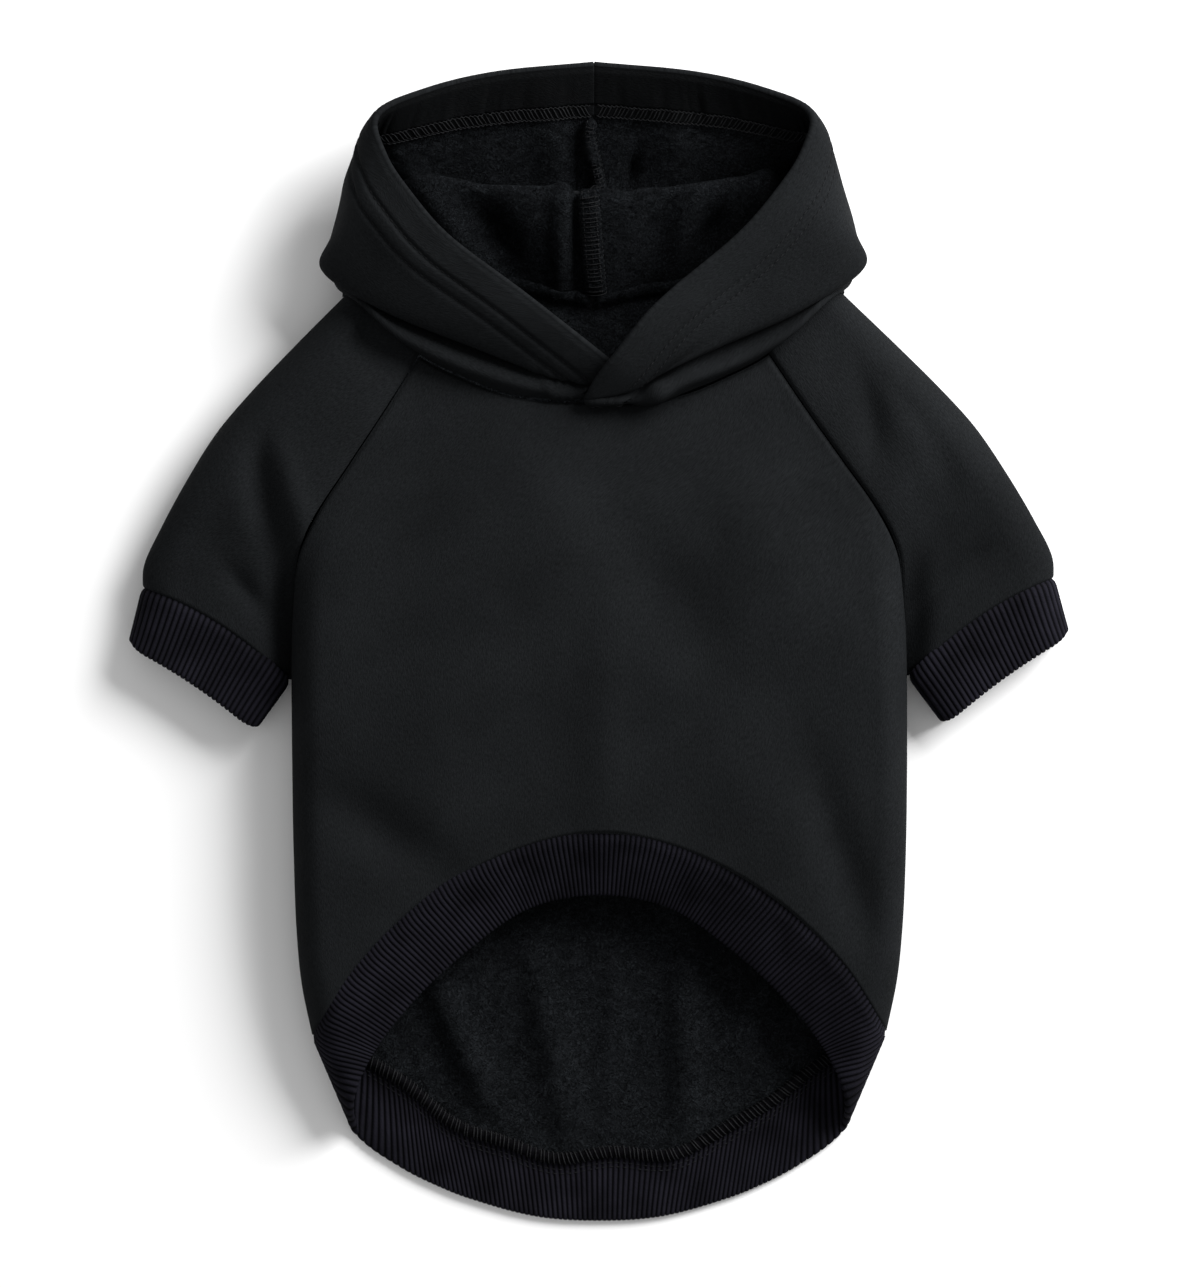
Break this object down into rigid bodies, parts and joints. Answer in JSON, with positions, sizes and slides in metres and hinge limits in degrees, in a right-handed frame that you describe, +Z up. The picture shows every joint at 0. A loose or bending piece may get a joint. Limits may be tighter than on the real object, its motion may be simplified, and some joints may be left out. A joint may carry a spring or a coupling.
{
  "type": "dog hoodie",
  "caption": "Fleece-lined pullover hoodie for a small dog, lying flat belly side up, with raglan sleeves, rib cuffs, an arched rib hem band and an open hood.",
  "frame": {"origin": "centre of the bounding box at the level of the floor that the garment lies on", "axes": "+Z up from the floor, +Y from the hem to the hood, +X across the chest"},
  "size_m": [0.3952, 0.4862, 0.0551],
  "materials": {
    "shell_fleece": "smooth black sweatshirt knit outside, brushed black fleece inside",
    "rib_knit": "black rib knit with fine ridges across the band"
  },
  "bodies": {
    "root": {"belly_panel": "shell_fleece", "back_panel": "shell_fleece", "hem_band": "rib_knit", "sleeve_left": "shell_fleece", "sleeve_right": "shell_fleece", "cuff_left": "rib_knit", "cuff_right": "rib_knit", "hood_left": "shell_fleece", "hood_right": "shell_fleece"}
  },
  "joints": []
}
